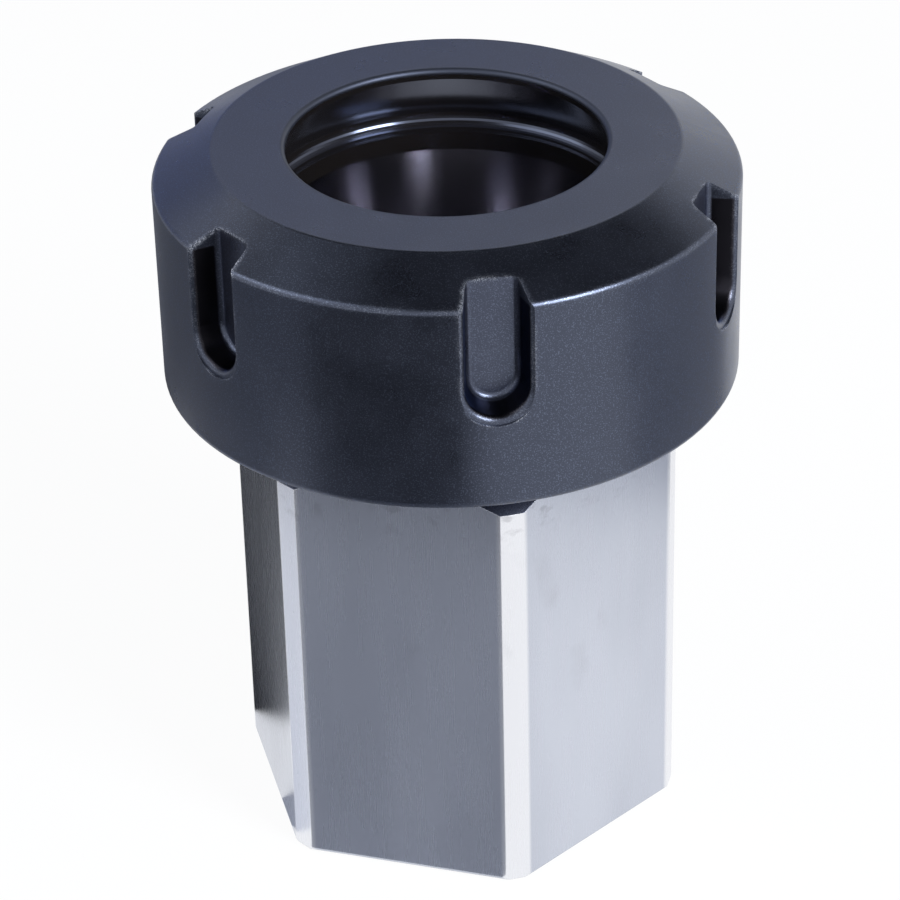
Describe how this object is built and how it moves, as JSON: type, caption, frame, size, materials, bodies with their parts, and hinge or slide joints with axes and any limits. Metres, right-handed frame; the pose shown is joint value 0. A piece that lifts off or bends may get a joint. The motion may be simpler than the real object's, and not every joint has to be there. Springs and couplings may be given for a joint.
{
  "type": "hex collet block",
  "caption": "Hex collet block with a tapered collet seat, a bore through its base and a slotted clamp nut screwed on its threaded nose.",
  "frame": {"origin": "centre of the base face, on the bore's axis", "axes": "+Z along the bore towards the nut; one hex flat faces -Y"},
  "size_m": [0.0634, 0.0634, 0.081],
  "materials": {
    "ground_steel": "ground",
    "black_oxide": "satin black oxide"
  },
  "bodies": {
    "block": {"hex_body": "ground_steel"},
    "nut": {"clamp_nut": "black_oxide"}
  },
  "joints": [
    {"name": "nut_turn", "type": "hinge", "parent": "block", "child": "nut", "pos_m": [0, 0, 0.07], "axis": [0, 0, 1], "range_deg": [-120, 360]}
  ]
}
